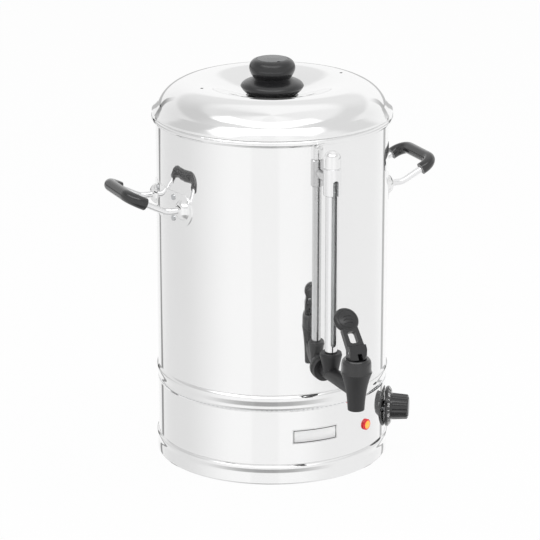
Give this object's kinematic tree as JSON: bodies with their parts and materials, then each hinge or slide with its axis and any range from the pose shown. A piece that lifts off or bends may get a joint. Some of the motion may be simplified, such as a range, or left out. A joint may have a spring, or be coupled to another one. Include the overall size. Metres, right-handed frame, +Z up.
{
  "type": "hot water urn",
  "caption": "Cylindrical steel hot water urn with lift-off domed lid, side bail handles, sight gauge, lever tap and thermostat dial.",
  "frame": {"origin": "on the tank's axis at the plane the feet rest on", "axes": "+Z up along the tank's axis, -Y towards the tap at the front, +X towards the right handle seen from the front"},
  "size_m": [0.388, 0.3733, 0.4595],
  "materials": {
    "polished_steel": "mirror-polished stainless sheet",
    "chrome": "bright plated bar",
    "inner_steel": "plain steel",
    "brass": "turned brass",
    "copper": "drawn copper",
    "matt_black": "moulded, fine satin",
    "gloss_black": "glossy sleeve",
    "cap_grey": "satin grey insert",
    "rubber": "dull",
    "silicone": "translucent white silicone",
    "glass": "clear tube",
    "lamp_red": "moulded red",
    "lamp_amber": "lit amber window",
    "moulded_insulator": "cream moulding"
  },
  "bodies": {
    "urn": {"tank_shell": "polished_steel", "mid_band": "polished_steel", "base_housing": "polished_steel", "plinth_ring": "polished_steel", "gauge_guard": "polished_steel", "gauge_collar": "polished_steel", "gauge_cap": "polished_steel", "left_handle_plate": "polished_steel", "right_handle_plate": "polished_steel", "left_handle_rod": "chrome", "right_handle_rod": "chrome", "tank_floor": "inner_steel", "bottom_plate": "inner_steel", "foot_screws": "inner_steel", "thermostat_screws": "inner_steel", "thermostat_spacers": "inner_steel", "thermostat_well": "inner_steel", "indicator_clip": "inner_steel", "heating_element": "inner_steel", "left_handle_rivets": "inner_steel", "right_handle_rivets": "inner_steel", "gauge_nut": "inner_steel", "heater_nuts": "inner_steel", "heater_bushes": "brass", "thermostat_bulb": "copper", "tap_body": "matt_black", "tap_bonnet": "matt_black", "tap_nut": "matt_black", "cable_gland": "matt_black", "cable_gland_nut": "matt_black", "left_handle_grip": "gloss_black", "right_handle_grip": "gloss_black", "rubber_feet": "rubber", "gauge_seal": "rubber", "tap_washer_outer": "rubber", "tap_washer_inner": "rubber", "gauge_washer": "rubber", "heater_gaskets": "rubber", "gauge_glass": "glass", "indicator_bezel": "lamp_red", "indicator_window": "lamp_amber", "thermostat_body": "moulded_insulator", "thermal_cutout": "moulded_insulator", "terminal_block": "moulded_insulator"},
    "lid": {"lid_shell": "polished_steel", "lid_knob_screw": "inner_steel", "lid_knob_washer": "inner_steel", "lid_knob": "matt_black", "lid_knob_cap": "cap_grey"},
    "lever": {"tap_lever": "matt_black", "tap_lever_pin": "inner_steel"},
    "stem": {"tap_stem": "matt_black", "tap_seat_cup": "silicone"},
    "dial": {"dial_skirt": "matt_black", "dial_grip": "matt_black", "dial_cap": "cap_grey", "thermostat_shaft": "inner_steel"}
  },
  "joints": [
    {"name": "lid_lift", "type": "slide", "parent": "urn", "child": "lid", "axis": [0, 0, 1], "range_m": [0, 0.12]},
    {"name": "stem_lift", "type": "slide", "parent": "urn", "child": "stem", "axis": [0, 0, 1], "range_m": [0, 0.0035]},
    {"name": "lever_tilt", "type": "hinge", "parent": "stem", "child": "lever", "pos_m": [0, -0.2155, 0.18], "axis": [1, 0, 0], "range_deg": [0, 28], "stiffness_Nm_per_rad": 0.35, "springref_deg": -17.19},
    {"name": "dial_turn", "type": "hinge", "parent": "urn", "child": "dial", "pos_m": [0.11338, -0.07085, 0.0513], "axis": [0.848, -0.5299, 0], "range_deg": [-270, 0]}
  ],
  "couplings": [
    {"joint": "stem_lift", "follows": "lever_tilt", "m_per_rad": 0.007162}
  ]
}
